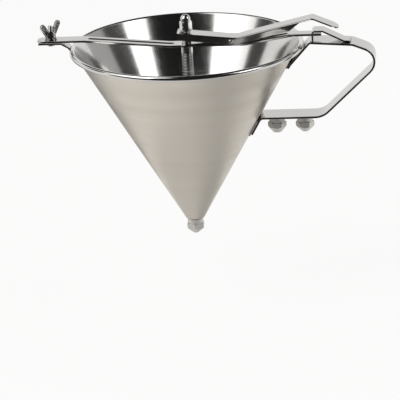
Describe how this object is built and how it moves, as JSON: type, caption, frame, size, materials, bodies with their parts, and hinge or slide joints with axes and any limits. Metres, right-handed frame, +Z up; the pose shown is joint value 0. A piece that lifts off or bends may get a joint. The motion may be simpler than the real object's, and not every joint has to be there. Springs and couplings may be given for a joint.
{
  "type": "batter dispensing funnel",
  "caption": "Hand-held steel batter funnel with a strap handle and a crossbar, whose thumb lever lifts a sprung stopper off the outlet; screw-on nozzles hang under the handle.",
  "frame": {"origin": "centre of the fitted nozzle's outlet, on the cone's axis", "axes": "+Z up the cone's axis from the outlet to the open rim, +X from the cone towards the handle"},
  "size_m": [0.3124, 0.217, 0.2118],
  "materials": {
    "cone_steel": "satin outside, bright inside, polished rolled rim",
    "strip_steel": "polished strip",
    "turned_steel": "bright turned",
    "cast_steel": "tumbled casting",
    "spring_steel": "drawn wire"
  },
  "bodies": {
    "frame": {"funnel_cone": "cone_steel", "rim_wire": "spring_steel", "outlet_socket": "turned_steel", "spare_stud_inner": "turned_steel", "spare_stud_outer": "turned_steel", "handle": "strip_steel", "keeper": "strip_steel", "rim_lug": "strip_steel", "clamp_stud": "turned_steel", "clamp_washer": "strip_steel", "crossbar": "strip_steel", "guide_bush": "turned_steel", "pivot_lug": "strip_steel", "pivot_rivet": "turned_steel", "return_spring": "spring_steel"},
    "thumb_lever": {"lever": "strip_steel", "pivot_pin": "turned_steel", "pin_clip": "spring_steel"},
    "stopper": {"stopper_rod": "turned_steel", "stopper_plug": "turned_steel", "spring_collar": "turned_steel", "collar_screw": "spring_steel", "lift_washer": "turned_steel", "jam_nut": "turned_steel", "acorn_nut": "turned_steel"},
    "fitted_nozzle": {"nozzle": "turned_steel"},
    "large_nozzle": {"spare_nozzle_large": "turned_steel"},
    "medium_nozzle": {"spare_nozzle_medium": "turned_steel"},
    "clamp_nut": {"wing_nut": "cast_steel"}
  },
  "joints": [
    {"name": "lever_press", "type": "hinge", "parent": "frame", "child": "thumb_lever", "pos_m": [0.0419, 0, 0.1866], "axis": [0, 1, 0], "range_deg": [0, 4]},
    {"name": "stopper_lift", "type": "slide", "parent": "frame", "child": "stopper", "axis": [0, 0, 1], "range_m": [0, 0.00335], "stiffness_N_per_m": 300, "springref_m": -0.012, "deforming": ["return_spring"]},
    {"name": "nozzle_turn", "type": "hinge", "parent": "frame", "child": "fitted_nozzle", "pos_m": [0, 0, 0.007], "axis": [0, 0, 1], "continuous": true},
    {"name": "large_nozzle_turn", "type": "hinge", "parent": "frame", "child": "large_nozzle", "pos_m": [0.0805, 0, 0.104], "axis": [0, 0, 1], "continuous": true},
    {"name": "medium_nozzle_turn", "type": "hinge", "parent": "frame", "child": "medium_nozzle", "pos_m": [0.1064, 0, 0.104], "axis": [0, 0, 1], "continuous": true},
    {"name": "wing_nut_turn", "type": "hinge", "parent": "frame", "child": "clamp_nut", "pos_m": [-0.1257, 0, 0.197], "axis": [0, 0, 1], "continuous": true}
  ],
  "couplings": [
    {"joint": "stopper_lift", "follows": "lever_press", "m_per_rad": 0.0476}
  ]
}
